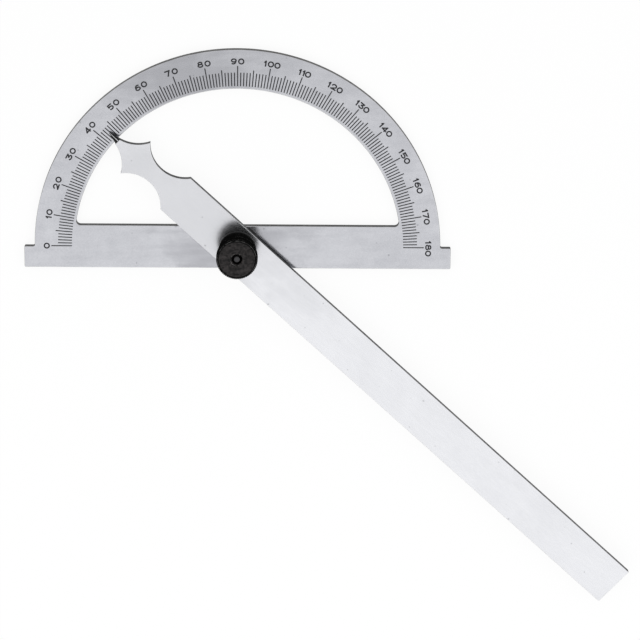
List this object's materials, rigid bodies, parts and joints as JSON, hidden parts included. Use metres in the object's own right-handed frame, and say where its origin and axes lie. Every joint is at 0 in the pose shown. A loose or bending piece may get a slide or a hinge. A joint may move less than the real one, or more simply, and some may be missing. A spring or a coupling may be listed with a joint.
{
  "type": "angle finder",
  "caption": "Flat steel angle finder: a half-round degree dial with a straight base, and a long pointer arm that swings on it and is clamped by a black knurled nut.",
  "frame": {"origin": "on the axis of the arm's pivot, in the plane of the dial's back face", "axes": "+X along the base towards 180 on the scale, +Y from the base towards the arc, +Z out of the graduated face"},
  "size_m": [0.1817, 0.1712, 0.0149],
  "materials": {
    "dial_steel": "satin",
    "arm_steel": "satin",
    "bright_steel": "turned",
    "black_filling": "matt paint",
    "black_washer": "matt",
    "black_nut": "satin black"
  },
  "bodies": {
    "dial": {"protractor_plate": "dial_steel", "degree_marks": "black_filling", "five_degree_marks": "black_filling", "ten_degree_marks": "black_filling", "numbers": "black_filling", "pivot_stud": "bright_steel", "spacer_washer": "black_washer"},
    "arm": {"swing_arm": "arm_steel"},
    "clamp_washer": {"nut_washer": "black_washer"},
    "nut": {"knurled_nut": "black_nut"}
  },
  "joints": [
    {"name": "arm_swing", "type": "hinge", "parent": "dial", "child": "arm", "pos_m": [0, 0, 0.0038], "axis": [0, 0, 1], "continuous": true},
    {"name": "nut_rise", "type": "slide", "parent": "dial", "child": "clamp_washer", "axis": [0, 0, 1], "range_m": [0, 0.001]},
    {"name": "nut_turn", "type": "hinge", "parent": "clamp_washer", "child": "nut", "pos_m": [0, 0, 0.0053], "axis": [0, 0, 1], "range_deg": [0, 720]}
  ],
  "couplings": [
    {"joint": "nut_rise", "follows": "nut_turn", "m_per_rad": 0.000079577}
  ]
}
